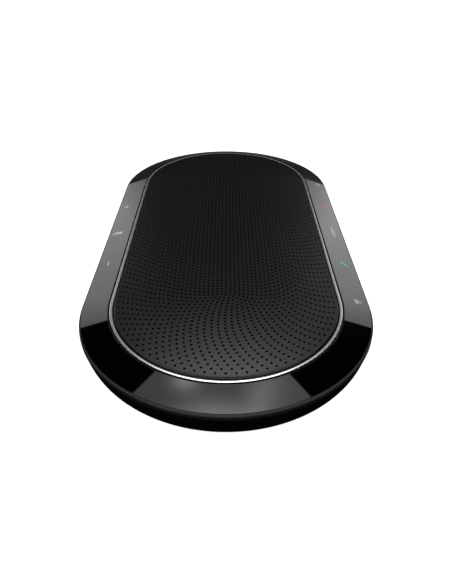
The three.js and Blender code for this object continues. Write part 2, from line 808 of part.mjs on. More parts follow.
piece("touch_board_front", touchBoard(-1, FRONT_TOUCH_LENGTH), board);
piece("touch_board_rear", touchBoard(1, REAR_TOUCH_LENGTH), board);
const frontRoute = [
  [-70, 25],
  [-70, 17],
  [-64, 7],
  [-61, 5.5],
  [38, 5.5],
  [38, 9.9],
  [44, 9.9],
];
const rearRoute = [
  [70, 25],
  [70, 17],
  [66, 9.9],
  [60, 9.9],
];
piece("front_flex", ribbon(frontRoute, FRONT_FLEX), flexFilm);
piece("rear_flex", ribbon(rearRoute, REAR_FLEX), flexFilm);
piece("speaker_lead", speakerLead(), rubber);

export default speakerphone;
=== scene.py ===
import json
from math import asin, atan, atan2, cos, degrees, hypot, pi, radians, sin, tan

import bmesh
import bpy
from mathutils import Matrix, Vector
from mathutils.geometry import delaunay_2d_cdt


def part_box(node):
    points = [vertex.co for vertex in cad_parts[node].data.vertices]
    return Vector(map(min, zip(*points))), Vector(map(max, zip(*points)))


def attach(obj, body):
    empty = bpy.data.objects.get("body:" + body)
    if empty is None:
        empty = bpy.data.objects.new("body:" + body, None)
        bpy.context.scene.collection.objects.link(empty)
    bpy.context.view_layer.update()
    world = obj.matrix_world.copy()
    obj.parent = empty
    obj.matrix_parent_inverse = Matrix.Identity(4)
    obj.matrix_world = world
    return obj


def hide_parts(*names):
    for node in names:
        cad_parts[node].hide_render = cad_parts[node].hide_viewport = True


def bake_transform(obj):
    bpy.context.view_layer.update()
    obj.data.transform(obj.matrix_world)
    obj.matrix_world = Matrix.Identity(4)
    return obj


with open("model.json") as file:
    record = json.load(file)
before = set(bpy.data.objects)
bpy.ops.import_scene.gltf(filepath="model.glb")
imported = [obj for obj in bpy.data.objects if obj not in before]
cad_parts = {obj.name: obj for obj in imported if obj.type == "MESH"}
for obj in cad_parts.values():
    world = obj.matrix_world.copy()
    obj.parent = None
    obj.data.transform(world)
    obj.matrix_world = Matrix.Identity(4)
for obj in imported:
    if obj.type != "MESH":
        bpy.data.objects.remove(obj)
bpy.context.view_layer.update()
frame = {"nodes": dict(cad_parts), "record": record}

MM = 0.001
BODY = "housing"

# ---- Sizes that come from the frame ----

bezel_low, bezel_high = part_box("bezel")
ring_low, ring_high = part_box("chrome_ring")
grille_low, grille_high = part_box("grille")
mid_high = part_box("mid_frame")[1]
housing_low, housing_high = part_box("bottom_housing")
foot_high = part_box("foot_ring")[1]

# A stadium's rho is the distance from the line between the centres of its round ends.
HALF = mid_high.x - mid_high.y  # half the length of that line
RIM_RHO = mid_high.y  # widest edge, on the middle frame's lip
RIM_TOP = bezel_low.z + 0.65 * MM  # height of the bezel's slope, carried out to that edge
BEZEL_RHO = bezel_high.y  # the bezel's outline is a stadium of its own, a little shorter
BEZEL_HALF = bezel_high.x - bezel_high.y
RING_RHO = ring_high.y - 0.8 * MM
LEDGE_RHO = 79.4 * MM  # outer edge of the middle frame's ledge, which carries the bezel
LEDGE_Z = bezel_low.z
MID_BOTTOM = housing_high.z + 0.3 * MM
FOOT_INNER = foot_high.y - 8 * MM
BEZEL_RISE = 5.0 * MM
BEZEL_SLOPE = BEZEL_RISE / (RIM_RHO - RING_RHO)
DOME_RISE = grille_high.z - RIM_TOP - BEZEL_RISE
BEZEL_TILT = atan(BEZEL_SLOPE)

ARC_STEPS = 72  # stations per round end
SIDE_STEPS = 24  # stations per straight side
WELD = 1e-6  # points nearer than this are one point


def bezel_top(rho):
    return RIM_TOP + (RIM_RHO - rho) * BEZEL_SLOPE


def dome_top(rho):
    return RIM_TOP + BEZEL_RISE + DOME_RISE * (1 - (rho / RING_RHO) ** 2)


# ---- Mesh tools ----


def new_object(name, vertices, faces, sharp=35, weld=False):
    mesh = bpy.data.meshes.new(name)
    mesh.from_pydata([tuple(v) for v in vertices], [], [tuple(f) for f in faces])
    mesh.validate()
    bm = bmesh.new()
    bm.from_mesh(mesh)
    if weld:
        bmesh.ops.remove_doubles(bm, verts=bm.verts, dist=WELD)
        bmesh.ops.dissolve_degenerate(bm, edges=bm.edges, dist=WELD)
    bmesh.ops.recalc_face_normals(bm, faces=bm.faces)
    bm.to_mesh(mesh)
    bm.free()
    obj = bpy.data.objects.new(name, mesh)
    bpy.context.scene.collection.objects.link(obj)
    shade(obj, sharp)
    return obj


def shade(obj, sharp=35):
    """Smooth shading that keeps the flats flat, with sharp edges over the given angle."""
    mesh = obj.data
    mesh.polygons.foreach_set("use_smooth", [True] * len(mesh.polygons))
    mesh.set_sharp_from_angle(angle=radians(sharp))


def stations():
    """(centre x, angle) of each station round the stadium, starting at the rear of the near end."""
    turn = [pi + pi * i / ARC_STEPS - pi / 2 for i in range(ARC_STEPS + 1)]
    side = [-HALF + 2 * HALF * i / SIDE_STEPS for i in range(1, SIDE_STEPS)]
    half = [(-HALF, angle) for angle in turn] + [(x, -pi / 2) for x in side]
    return half + [(-centre, angle + pi) for centre, angle in half]


STATIONS = stations()


def on_stadium(rho, z, station):
    centre, angle = station
    return (centre + rho * cos(angle), rho * sin(angle), z)


def ringed(name, loops, sharp=35, closed=True):
    """A solid through loops of points, one for each station. An open one starts and ends at rho 0."""
    count = len(STATIONS)
    vertices = [point for loop in loops for point in loop]
    faces = []
    for p in range(len(loops) if closed else len(loops) - 1):
        here, there = p * count, ((p + 1) % len(loops)) * count
        for s in range(count):
            t = (s + 1) % count
            faces.append((here + s, here + t, there + t, there + s))
    return new_object(name, vertices, faces, sharp, weld=not closed)


def loop_at(rho, z):
    return [on_stadium(rho, z, station) for station in STATIONS]


def swept(name, profile, sharp=35, closed=True):
    """A (rho, z) profile swept round the stadium."""
    return ringed(name, [loop_at(rho, z) for rho, z in profile], sharp, closed)


def stadium_distance(x, y):
    return hypot(max(abs(x) - HALF, 0.0), y)


def bezel_outline(margin, lift):
    """The bezel's outline grown by a margin, at a height above the bezel's slope."""
    loop = []
    for centre, angle in STATIONS:
        rho = BEZEL_RHO + margin
        x = centre * BEZEL_HALF / HALF + rho * cos(angle)
        y = rho * sin(angle)
        loop.append((x, y, bezel_top(stadium_distance(x, y)) + lift))
    return loop


def arc(x, y, radius, start, end, steps, height=None):
    """Points of an arc, with its angles in degrees. It is elliptical where a height is given."""
    angles = [radians(start + (end - start) * i / steps) for i in range(steps + 1)]
    return [(x + radius * cos(a), y + (height or radius) * sin(a)) for a in angles]


def rounded_profile(corners, radii, steps):
    """A closed outline with each corner rounded by its radius, which may be 0."""
    points = []
    count = len(corners)
    for i, (corner, radius) in enumerate(zip(corners, radii)):
        here = Vector(corner)
        back = (Vector(corners[i - 1]) - here).normalized()
        ahead = (Vector(corners[(i + 1) % count]) - here).normalized()
        if radius == 0:
            points.append(tuple(here))
            continue
        half_angle = back.angle(ahead) / 2
        reach = radius / tan(half_angle)
        start, end = here + back * reach, here + ahead * reach
        for s in range(steps + 1):
            t = s / steps
            points.append(tuple(start * (1 - t) ** 2 + here * 2 * t * (1 - t) + end * t * t))
    return points


def upright(x, y):
    """Places points of revolution round a vertical line."""
    return lambda radius, angle, z: (x + radius * cos(angle), y + radius * sin(angle), z)


def rearward(x, z):
    """Places points of revolution round a line along Y."""
    return lambda radius, angle, y: (x + radius * cos(angle), y, z + radius * sin(angle))


def turned(name, profile, place, segments=40):
    """A solid of revolution. A (radius, level) profile that starts off the axis is closed on itself."""
    vertices, rings = [], []
    for radius, level in profile:
        steps = range(segments if radius else 1)
        rings.append([len(vertices) + i for i in steps])
        vertices += [place(radius, 2 * pi * i / segments, level) for i in steps]
    if profile[0][0]:
        rings.append(rings[0])
    faces = []
    for lower, upper in zip(rings, rings[1:]):
        for i in range(segments):
            j = (i + 1) % segments
            a, b = lower[i % len(lower)], lower[j % len(lower)]
            c, d = upper[j % len(upper)], upper[i % len(upper)]
            face = list(dict.fromkeys((a, b, c, d)))  # a ring on the axis is one point
            if len(face) > 2:
                faces.append(face)
    return new_object(name, vertices, faces)


def cylinder(name, place, radius, start, end, segments=40):
    return turned(name, [(0, start), (radius, start), (radius, end), (0, end)], place, segments)


def rounded_box(name, low, high, radius, axis=1, steps=6):
    """A box whose four edges along one axis are rounded."""
    u, v = [i for i in range(3) if i != axis]
    corners = [
        (high[u] - radius, high[v] - radius, 0),
        (low[u] + radius, high[v] - radius, 90),
        (low[u] + radius, low[v] + radius, 180),
        (high[u] - radius, low[v] + radius, 270),
    ]
    outline = [p for cu, cv, a in corners for p in arc(cu, cv, radius, a, a + 90, steps)]
    vertices = []
    for level in (low[axis], high[axis]):
        for pu, pv in outline:
            point = [0.0, 0.0, 0.0]
            point[u], point[v], point[axis] = pu, pv, level
            vertices.append(point)
    n = len(outline)
    faces = [(i, (i + 1) % n, n + (i + 1) % n, n + i) for i in range(n)]
    faces += [tuple(range(n))[::-1], tuple(range(n, 2 * n))]
    return new_object(name, vertices, faces)


def combine(target, tools, operation):
    """Joins or cuts the target with each tool, and removes the tools."""
    for tool in tools:
        modifier = target.modifiers.new("shape", "BOOLEAN")
        modifier.operation = operation
        modifier.solver = "EXACT"
        modifier.object = tool
        graph = bpy.context.evaluated_depsgraph_get()
        result = bpy.data.meshes.new_from_object(target.evaluated_get(graph))
        target.modifiers.clear()
        target.data = result
        bpy.data.objects.remove(tool)
    shade(target)


# ---- Materials ----


class NodeGraph:
    """Adds nodes to a tree. Each input is a plain value or another node's output."""

    def __init__(self, tree):
        self.tree = tree

    def plug(self, socket, value):
        if isinstance(value, bpy.types.NodeSocket):
            self.tree.links.new(value, socket)
        else:
            socket.default_value = value

    def node(self, kind, **inputs):
        node = self.tree.nodes.new("ShaderNode" + kind)
        for name, value in inputs.items():
            self.plug(node.inputs[name.replace("_", " ")], value)
        return node


def rgba(color):
    """A plain number is a slightly cool grey."""
    return (color, color, color * 1.03, 1.0) if isinstance(color, float) else (*color, 1.0)


class Finish(NodeGraph):
    """A Principled material with procedural detail, in the object's own coordinates."""

    NOISE_LOW, NOISE_HIGH = 0.3, 0.7  # the part of the noise that is spread over a range

    def __init__(self, name, color, roughness, metallic=0.0, **sockets):
        self.name = name
        self.material = bpy.data.materials.new(name)
        self.material.use_nodes = True
        super().__init__(self.material.node_tree)
        self.shader = self.tree.nodes["Principled BSDF"]
        self.set("Base Color", rgba(color))
        self.set("Roughness", roughness)
        self.set("Metallic", metallic)
        for socket, value in sockets.items():
            self.set(socket.replace("_", " "), value)
        self.coordinates = self.node("TexCoord").outputs["Object"]

    def set(self, socket, value):
        self.plug(self.shader.inputs[socket], value)

    def emit(self, color, strength):
        self.set("Emission Color", rgba(color))
        self.set("Emission Strength", strength)
        return self

    def noise(self, scale, detail=3.0, stretch=None):
        source = self.coordinates
        if stretch:
            source = self.node("Mapping", Vector=source, Scale=stretch).outputs["Vector"]
        return self.node("TexNoise", Vector=source, Scale=scale, Detail=detail).outputs["Fac"]

    def vary_roughness(self, low, high, scale):
        taken = {"From_Min": self.NOISE_LOW, "From_Max": self.NOISE_HIGH}
        ramp = self.node("MapRange", Value=self.noise(scale), To_Min=low, To_Max=high, **taken)
        self.set("Roughness", ramp.outputs["Result"])
        return self

    def vary_color(self, dark, light, scale):
        ramp = self.node("ValToRGB", Fac=self.noise(scale))
        first, last = ramp.color_ramp.elements
        first.position, first.color = self.NOISE_LOW, rgba(dark)
        last.position, last.color = self.NOISE_HIGH, rgba(light)
        self.set("Base Color", ramp.outputs["Color"])
        return self

    def relief(self, height, strength, distance):
        bump = self.node("Bump", Strength=strength, Distance=distance, Height=height)
        self.set("Normal", bump.outputs["Normal"])
        return self

    def grain(self, scale, strength, stretch=None):
        return self.relief(self.noise(scale, 2.0, stretch), strength, 0.05 * MM)

    def weave(self, pitch, strength):
        """Crossed threads from two wave textures, as a bump."""
        period = 0.314  # of a wave texture with scale 1, in metres
        crossed = self.node("Math")
        crossed.operation = "MULTIPLY"
        for direction, socket in zip("XY", crossed.inputs):
            wave = self.node("TexWave", Vector=self.coordinates, Scale=period / pitch)
            wave.bands_direction = direction
            self.plug(socket, wave.outputs["Fac"])
        return self.relief(crossed.outputs["Value"], strength, 0.1 * MM)


def build_finishes():
    """One finish for each material slot of the CAD record."""
    finishes = (
        Finish("gloss_black", 0.0004, 0.02, IOR=1.5).vary_roughness(0.008, 0.022, 60),
        Finish("chrome", 0.95, 0.17, 1.0).vary_roughness(0.15, 0.18, 40),
        Finish("grille_metal", 0.0004, 0.18, IOR=1.5).vary_color(0.0002, 0.0006, 500).grain(5200, 0.1),
        Finish("acoustic_cloth", 0.002, 0.95, Specular_IOR_Level=0.05).weave(0.35 * MM, 0.6),
        Finish("housing_plastic", 0.002, 0.36, Specular_IOR_Level=0.25)
        .vary_roughness(0.32, 0.42, 220)
        .grain(2600, 0.12),
        Finish("rim_plastic", 0.005, 0.6, Specular_IOR_Level=0.4)
        .vary_roughness(0.56, 0.64, 260)
        .grain(3000, 0.12),
        Finish("inner_plastic", 0.02, 0.55).vary_roughness(0.48, 0.62, 200).grain(2400, 0.2),
        Finish("rubber", 0.014, 0.8).vary_color(0.011, 0.018, 120).grain(1800, 0.35),
        Finish("microphone_rubber", 0.03, 0.75).vary_color(0.022, 0.036, 500).grain(2400, 0.3),
        Finish("foam", 0.02, 0.95).vary_color(0.012, 0.03, 1500).grain(2500, 0.7),
        Finish("label_film", 0.25, 0.45).vary_roughness(0.38, 0.52, 180).grain(4000, 0.08),
        Finish("screw_steel", 0.5, 0.32, 1.0).vary_roughness(0.25, 0.42, 900).grain(3000, 0.15),
        Finish("magnet_steel", 0.45, 0.35, 1.0).vary_roughness(0.28, 0.45, 260).grain(2400, 0.15),
        Finish("ferrite", 0.04, 0.6).vary_color(0.03, 0.055, 700).grain(1600, 0.4),
        Finish("copper", (0.6, 0.28, 0.13), 0.35, 0.9)
        .vary_color((0.5, 0.2, 0.08), (0.68, 0.33, 0.16), 900)
        .grain(3000, 0.5, stretch=(0.1, 0.1, 1.0)),
        Finish("spider_cloth", (0.5, 0.35, 0.12), 0.9)
        .vary_color((0.42, 0.28, 0.09), (0.56, 0.4, 0.16), 600)
        .weave(0.4 * MM, 0.8),
        Finish("cone_paper", 0.02, 0.8).vary_color(0.014, 0.03, 900).grain(1500, 0.4),
        Finish("circuit_board", (0.012, 0.09, 0.035), 0.4)
        .vary_color((0.008, 0.07, 0.026), (0.018, 0.11, 0.045), 350)
        .grain(1400, 0.2),
        Finish("chip_plastic", 0.012, 0.45).vary_roughness(0.38, 0.52, 800).grain(3200, 0.2),
        Finish("shield_metal", 0.6, 0.3, 1.0).vary_roughness(0.22, 0.4, 500).grain(1600, 0.1),
        Finish("flex_film", (0.45, 0.2, 0.05), 0.35)
        .vary_color((0.38, 0.16, 0.035), (0.52, 0.24, 0.07), 200)
        .grain(900, 0.1),
    )
    return {finish.name: finish.material for finish in finishes}


FINISHES = build_finishes()


def glow(name, color, strength, gloss=0.5):
    """A backlit symbol. A lower gloss dims the panel's reflection over it."""
    finish = Finish(name, [0.1 * part for part in color], 0.02, IOR=1.5, Specular_IOR_Level=gloss)
    return finish.vary_roughness(0.008, 0.022, 60).emit(color, strength).material


def mount(obj, slot, *nodes, material=None, body=BODY):
    """Gives a piece its finish, hides the nodes that it replaces, and ties it to its body."""
    obj.data.materials.clear()
    obj.data.materials.append(material or FINISHES[slot])
    flat_faces = obj.modifiers.new("flat faces", "WEIGHTED_NORMAL")
    flat_faces.mode = "FACE_AREA"
    flat_faces.weight = 100
    flat_faces.keep_sharp = True
    if nodes:
        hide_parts(*nodes)
    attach(obj, body)
    return obj


SLOT_OF = {row["node"]: row["material_slot"] for row in frame["record"]["subparts"]}


def dress_frame():
    """Every CAD node gets the finish of its material slot."""
    for node, obj in frame["nodes"].items():
        obj.data.materials.clear()
        obj.data.materials.append(FINISHES[SLOT_OF[node]])


# ---- Shell ----


def build_bezel():
    inner, underside = 65.9 * MM, 79 * MM
    crest = 0.35 * MM  # rounding of the inner edge
    depth = 0.62 * MM  # thickness at the two edges
    belly = 0.4 * MM  # how much thicker the panel is over the underside's lowest line
    loops = [loop_at(inner, bezel_top(inner) - depth), loop_at(inner, bezel_top(inner) - crest)]
    for turn in (60, 30, 0):
        rise = crest * (1 - cos(radians(turn)))
        rho = inner + crest * (1 - sin(radians(turn)))
        loops.append(loop_at(rho, bezel_top(rho) - rise))
    corner = 0.16 * MM  # rounding of the outer edge
    for turn in (0, 30, 60, 90):
        c, s = cos(radians(turn)), sin(radians(turn))
        loops.append(bezel_outline(corner * (s - 1), corner * (c - 1)))
    loops.append(bezel_outline(0, -depth))
    loops.append(loop_at(underside, bezel_top(underside) - depth - belly))
    mount(ringed("bezel_panel", loops), "gloss_black", "bezel")


def build_chrome_ring():
    """A flat trim with a slight crown, and an outer edge that rolls down to the bezel."""
    inner, outer = ring_high.y - 1.65 * MM, ring_high.y - 0.15 * MM
    top, shoulder = ring_high.z, ring_high.z - 0.1 * MM
    crown = ((inner + outer) / 2, top)
    corners = [(inner, ring_low.z), (inner, shoulder), crown, (outer, shoulder), (outer, ring_low.z)]
    radii = [0, 0.15 * MM, 0.6 * MM, 0.42 * MM, 0]
    mount(swept("chrome_trim_ring", rounded_profile(corners, radii, 8), 50), "chrome", "chrome_ring")


SIDE_SCREW_X, SCREW_RHO = 70 * MM, 58.5 * MM
HOUSING_SCREWS = [(sx * SIDE_SCREW_X, sy * SCREW_RHO) for sx in (-1, 1) for sy in (-1, 1)]
HOUSING_SCREWS += [(sx * (HALF + SCREW_RHO), 0) for sx in (-1, 1)]
BOARD_SCREWS = [(-54 * MM, 43 * MM), (54 * MM, 66 * MM)]
BOSS_BOTTOM = 7.3 * MM


def posts(places, radius, start, end):
    """Upright cylinders, as tools for combine."""
    return [cylinder("post", upright(x, y), radius, start, end) for x, y in places]


def build_mid_frame():
    seam = 0.1 * MM  # open line between the bezel and the lip
    lip_outer = RIM_RHO - 0.2 * MM
    ledge_inner, ledge_top = 66.4 * MM, LEDGE_Z - 0.3 * MM
    seat = [(76.8, 22.3), (58, 22.3), (58, 24.0), (62, 24.0), (62, 26.6), (66.4, 26.6)]  # in millimetres
    loops = [loop_at(rho * MM, z * MM) for rho, z in seat]
    loops.append(loop_at(ledge_inner, ledge_top + (LEDGE_RHO - ledge_inner) * BEZEL_SLOPE))
    loops.append(loop_at(LEDGE_RHO, ledge_top))
    loops += [bezel_outline(seam, -1.0 * MM), bezel_outline(seam, -0.08 * MM)]
    loops.append(bezel_outline(seam + 0.06 * MM, 0))
    skirt_inner = 78.4 * MM
    corners = [
        (lip_outer - 0.2 * MM, bezel_top(lip_outer) + 0.04 * MM),
        (lip_outer, bezel_top(lip_outer)),
        (RIM_RHO, RIM_TOP - 0.4 * MM),
        (RIM_RHO, MID_BOTTOM + 0.25 * MM),
        (RIM_RHO - 0.3 * MM, MID_BOTTOM),
        (skirt_inner, MID_BOTTOM),
    ]
    radii = [0, 0.06 * MM, 0.2 * MM, 0.12 * MM, 0.12 * MM, 0]
    loops += [loop_at(rho, z) for rho, z in rounded_profile(corners, radii, 4)]
    loops += [loop_at(skirt_inner, 20.4 * MM), loop_at(76.8 * MM, 20.4 * MM)]
    frame_ring = ringed("middle_frame", loops, 30)
    bosses = posts(HOUSING_SCREWS, 4 * MM, BOSS_BOTTOM, 23 * MM)
    pilots = posts(HOUSING_SCREWS, 1.5 * MM, BOSS_BOTTOM - 0.3 * MM, 18 * MM)
    board_pockets = [
        sloped_slab(side, half_length, 5.3 * MM, -1 * MM, 1.4 * MM)
        for side, half_length in ((-1, 90.3 * MM), (1, 58.3 * MM))
    ]
    combine(frame_ring, bosses, "UNION")
    combine(frame_ring, pilots + board_pockets, "DIFFERENCE")
    mount(frame_ring, "rim_plastic", "mid_frame")


def sloped_slab(side, half_length, half_width, top, bottom):
    """A slab along the underside of the bezel, between two depths below the ledge's slope."""
    rho = 72.5 * MM
    z = LEDGE_Z + (LEDGE_RHO - rho) * BEZEL_SLOPE
    along = Vector((0, side * cos(BEZEL_TILT), -sin(BEZEL_TILT))) * half_width
    down = Vector((0, -side * sin(BEZEL_TILT), -cos(BEZEL_TILT)))
    vertices = []
    for depth in (top, bottom):
        for x, w in ((-1, -1), (1, -1), (1, 1), (-1, 1)):
            vertices.append(Vector((x * half_length, side * rho, z)) + along * w + down * depth)
    faces = [(0, 1, 2, 3), (4, 5, 6, 7), (0, 1, 5, 4), (1, 2, 6, 5), (2, 3, 7, 6), (3, 0, 4, 7)]
    return new_object("slab", vertices, faces)


def build_housing():
    top, floor = housing_high.z, housing_low.z
    foot_flat, inner_flat = 64 * MM, 62.2 * MM  # where the floor starts to curve up, outside and inside
    outer = housing_high.y
    bulge = outer - foot_flat
    wall, inner_floor = 2.2 * MM, 4.6 * MM
    gap = 0.3 * MM  # room round the foot ring in its groove
    groove_in, groove_out, groove_top = FOOT_INNER - gap, foot_high.y + gap, floor + 0.8 * MM
    inside = arc(inner_flat, top, bulge - 0.4 * MM, -90, 0, 20, top - inner_floor)
    outside = arc(foot_flat, top, bulge, 0, -90, 28, top - floor)
    profile = [(0, inner_floor)] + inside[:-1] + [(outer - wall, top)] + outside
    profile += [(groove_out, floor), (groove_out, groove_top), (groove_in, groove_top), (groove_in, floor)]
    shell = swept("lower_housing", profile + [(0, floor)], 30, closed=False)
    buried = inner_floor - 1 * MM  # how far what stands on the floor reaches into it
    keep = rounded_box("keep", (-48 * MM, 70.2 * MM, buried), (48 * MM, 76.5 * MM, 20.1 * MM), 0.5 * MM)
    pads = posts(HOUSING_SCREWS, 4.6 * MM, buried, 7 * MM)
    pillars = posts(BOARD_SCREWS, 2.6 * MM, buried, 7.3 * MM)
    combine(shell, [keep] + pads + pillars, "UNION")
    recess = rounded_box("recess", (-44 * MM, 72.4 * MM, 8.8 * MM), (44 * MM, 95 * MM, 18.8 * MM), 2 * MM)
    label = rounded_box("label", (-35 * MM, -18 * MM, 0), (35 * MM, 18 * MM, 2.7 * MM), 1.0 * MM, axis=2)
    bores = posts(HOUSING_SCREWS, 3 * MM, 0, inner_floor)
    holes = posts(HOUSING_SCREWS, 1.6 * MM, 0, 8 * MM) + posts(BOARD_SCREWS, 1.3 * MM, inner_floor, 8 * MM)
    combine(shell, [recess, label] + bores + holes + socket_cutters(), "DIFFERENCE")
    mount(shell, "housing_plastic", "bottom_housing")


# ---- Sockets in the rear recess ----

SOCKET_BACK = 61 * MM  # bottom of the round sockets' bores
SOCKET_FACE = 69.9 * MM  # front of the round sockets' bodies, behind the recess's wall
# For each round socket: its axis above its underside, the radii of its nose and bore, and its metal lining.
ROUND_SOCKETS = {
    "dc_jack": (4.5 * MM, 3.2 * MM, 2.75 * MM, 0),
    "audio_jack": (3.2 * MM, 2.9 * MM, 1.8 * MM, 0.45 * MM),
}
# For each flat socket: its corner, its wall, half its tongue's thickness, and its number of contacts.
FLAT_SOCKETS = {
    "usb_a_socket": (0.6 * MM, 0.4 * MM, 0.9 * MM, 4),
    "usb_c_socket": (1.6 * MM, 0.3 * MM, 0.35 * MM, 6),
}


def socket_axis(node):
    low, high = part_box(node)
    return rearward((low.x + high.x) / 2, low.z + ROUND_SOCKETS[node][0])


def socket_cutters():
    """Openings in the recess's back wall, round the mouths of the four sockets."""
    start, end, gap = 68.4 * MM, 73.4 * MM, 0.3 * MM
    cutters = [
        cylinder("mouth", socket_axis(node), barrel + gap, start, end)
        for node, (_, barrel, _, _) in ROUND_SOCKETS.items()
    ]
    for node, (corner, *_) in FLAT_SOCKETS.items():
        low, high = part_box(node)
        near, far = (low.x - gap, start, low.z - gap), (high.x + gap, end, high.z + gap)
        cutters.append(rounded_box("mouth", near, far, corner + gap))
    return cutters


def build_round_socket(node):
    """A plastic body with a round nose, which may be lined with a metal sleeve."""
    low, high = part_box(node)
    _, barrel, bore, lining = ROUND_SOCKETS[node]
    place, mouth, hole, lip = socket_axis(node), high.y, bore + lining, 0.15 * MM
    body = rounded_box(node + "_body", low, (high.x, SOCKET_FACE, high.z), 0.4 * MM, axis=2)
    combine(body, [cylinder("bore", place, hole, SOCKET_BACK, 75 * MM)], "DIFFERENCE")
    mount(body, "chip_plastic", node)
    nose = [(hole, SOCKET_FACE), (barrel, SOCKET_FACE), (barrel, mouth - lip), (barrel - lip, mouth)]
    nose += [(hole + lip / 2, mouth), (hole, mouth - lip / 2)]
    mount(turned(node + "_nose", nose, place), "chip_plastic")
    if lining:
        back = SOCKET_BACK + 0.2 * MM
        sleeve = [(bore, back), (hole, back), (hole, mouth - 0.1 * MM), (bore, mouth - 0.3 * MM)]
        mount(turned(node + "_sleeve", sleeve, place), "shield_metal")


def build_flat_socket(node):
    """A metal shell round a plastic tongue with a row of contacts."""
    low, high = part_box(node)
    corner, wall, tongue_half, contacts = FLAT_SOCKETS[node]
    shell = rounded_box(node + "_shell", low, high, corner)
    back = low.y + 4 * MM
    near = (low.x + wall, back, low.z + wall)
    far = (high.x - wall, high.y + 1 * MM, high.z - wall)
    combine(shell, [rounded_box("hollow", near, far, corner - wall)], "DIFFERENCE")
    mount(shell, "shield_metal", node)
    x, z = (low.x + high.x) / 2, (low.z + high.z) / 2
    half = (high.x - low.x) / 2 - wall - 0.8 * MM
    tip = high.y - 1 * MM
    near, far = (x - half, back, z - tongue_half), (x + half, tip, z + tongue_half)
    mount(rounded_box(node + "_tongue", near, far, 0.12 * MM), "chip_plastic")
    pitch = 2 * half / contacts
    skin = 0.05 * MM
    for i in range(contacts):
        left = x - half + pitch * (i + 0.25)
        near = (left, tip - 4.5 * MM, z + tongue_half)
        far = (left + pitch / 2, tip - 0.5 * MM, z + tongue_half + skin)
        mount(rounded_box(f"{node}_contact_{i + 1}", near, far, 0.1 * MM, axis=2, steps=2), "copper")


def build_pin(node):
    """A centre pin with a rounded tip."""
    tip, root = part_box(node)[1].y - 0.6 * MM, SOCKET_BACK - 1 * MM
    radius, blunt = 1.0 * MM, 0.7 * MM
    pin = [(0, root), (radius, root), (radius, tip - 0.4 * MM), (blunt, tip - 0.05 * MM), (0, tip)]
    mount(turned(node + "_pin", pin, socket_axis(node), 24), "shield_metal")


def build_sockets():
    build_round_socket("dc_jack")
    build_pin("dc_jack")
    build_round_socket("audio_jack")
    for node in FLAT_SOCKETS:
        build_flat_socket(node)


# ---- Underside ----


def build_label():
    low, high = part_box("rating_label")
    mount(rounded_box("blank_label", low, high, 0.8 * MM, axis=2), "label_film", "rating_label")


def build_screw(node, head_radius, shank_radius, head_down=False):
    """A pan head with a hexagonal socket, on a threaded shank."""
    low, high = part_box(node)
    place = upright(*(low + high).xy / 2)
    start, along = (low.z, 1) if head_down else (high.z, -1)
    length, head_height = high.z - low.z, 1.4 * MM
    fillet, tip, thread = 0.3 * MM, 0.3 * MM, 0.8 * MM
    core = shank_radius - 0.15 * MM
    profile = [(0, 0), (head_radius - fillet, 0), (head_radius - fillet * 0.3, fillet * 0.3)]
    profile += [(head_radius, fillet), (head_radius, head_height), (core, head_height)]
    for i in range(int((length - head_height - 0.5 * MM) / thread)):
        root = head_height + thread * i
        profile += [(core, root + 0.2 * MM), (shank_radius, root + 0.4 * MM), (core, root + 0.6 * MM)]
    profile += [(core, length - tip), (core * 0.6, length), (0, length)]
    profile = [(radius, start + along * level) for radius, level in profile]
    screw = turned(node + "_body", profile, place, 28)
    ends = sorted((start - along * MM, start + along * head_height / 2))
    combine(screw, [cylinder("socket", place, head_radius / 2, *ends, segments=6)], "DIFFERENCE")
    mount(screw, "screw_steel", node)


def build_screws():
    for node in frame["nodes"]:
        if node.startswith("housing_screw"):
            build_screw(node, 2.6 * MM, 1.2 * MM, head_down=True)
        elif node.startswith("driver_screw"):
            build_screw(node, 2.1 * MM, 1.1 * MM)
        elif node.startswith("board_screw"):
            build_screw(node, 2.2 * MM, 1.0 * MM)


def build_foot_ring():
    inner, outer, top = FOOT_INNER, foot_high.y, foot_high.z
    corner, edge = 0.6 * MM, 0.9 * MM  # rounding, and plain width beside the grooves
    groove_count, groove_depth = 5, 0.35 * MM
    pitch = (outer - inner - 2 * edge) / groove_count
    tread = []
    for i in range(groove_count):
        for share, level in ((0.25, 0), (0.4, groove_depth), (0.6, groove_depth), (0.75, 0)):
            tread.append((inner + edge + pitch * (i + share), level))
    profile = [(inner, top)] + arc(inner + corner, corner, corner, 180, 270, 5) + tread
    profile += arc(outer - corner, corner, corner, 270, 360, 5) + [(outer, top)]
    mount(swept("rubber_foot_ring", profile, 30), "rubber", "foot_ring")


# ---- Grille ----

HOLE_PITCH = 2.5 * MM
HOLE_RINGS = 24
HOLE_RADIUS = 0.7 * MM
HOLE_SIDES = 10
SHEET = 0.8 * MM  # thickness of the grille


def ring_point(rho, distance):
    """The point at a distance along the stadium of radius rho, from its near tip towards -Y."""
    end, side = pi * rho, 2 * HALF
    turn, distance = divmod(distance + end / 2, end + side)
    half = -1 if turn == 1 else 1  # the far end and the rear side mirror the near end and the front side
    if distance < end:
        angle = distance / rho - pi / 2
        x, y = -HALF - rho * cos(angle), -rho * sin(angle)
    else:
        x, y = distance - end - HALF, -rho
    return half * x, half * y


def hole_centres():
    """Concentric rings of holes. The holes spread out and swirl from the middle to the rim."""
    centres = []
    for ring in range(HOLE_RINGS + 1):
        rho = ring * HOLE_PITCH
        perimeter = 4 * HALF + 2 * pi * rho
        spacing = HOLE_PITCH * (1 + ring / HOLE_RINGS)
        count = 2 * round(perimeter / (2 * spacing))
        phase = (0.836 + 0.01475 * (ring - 9.4) ** 2) % 1  # share of a spacing, fitted to the photo's swirl
        if ring == 0:
            count //= 2
            perimeter /= 2
        for i in range(count):
            centres.append(ring_point(rho, (i + phase) * perimeter / count % perimeter))
    return centres


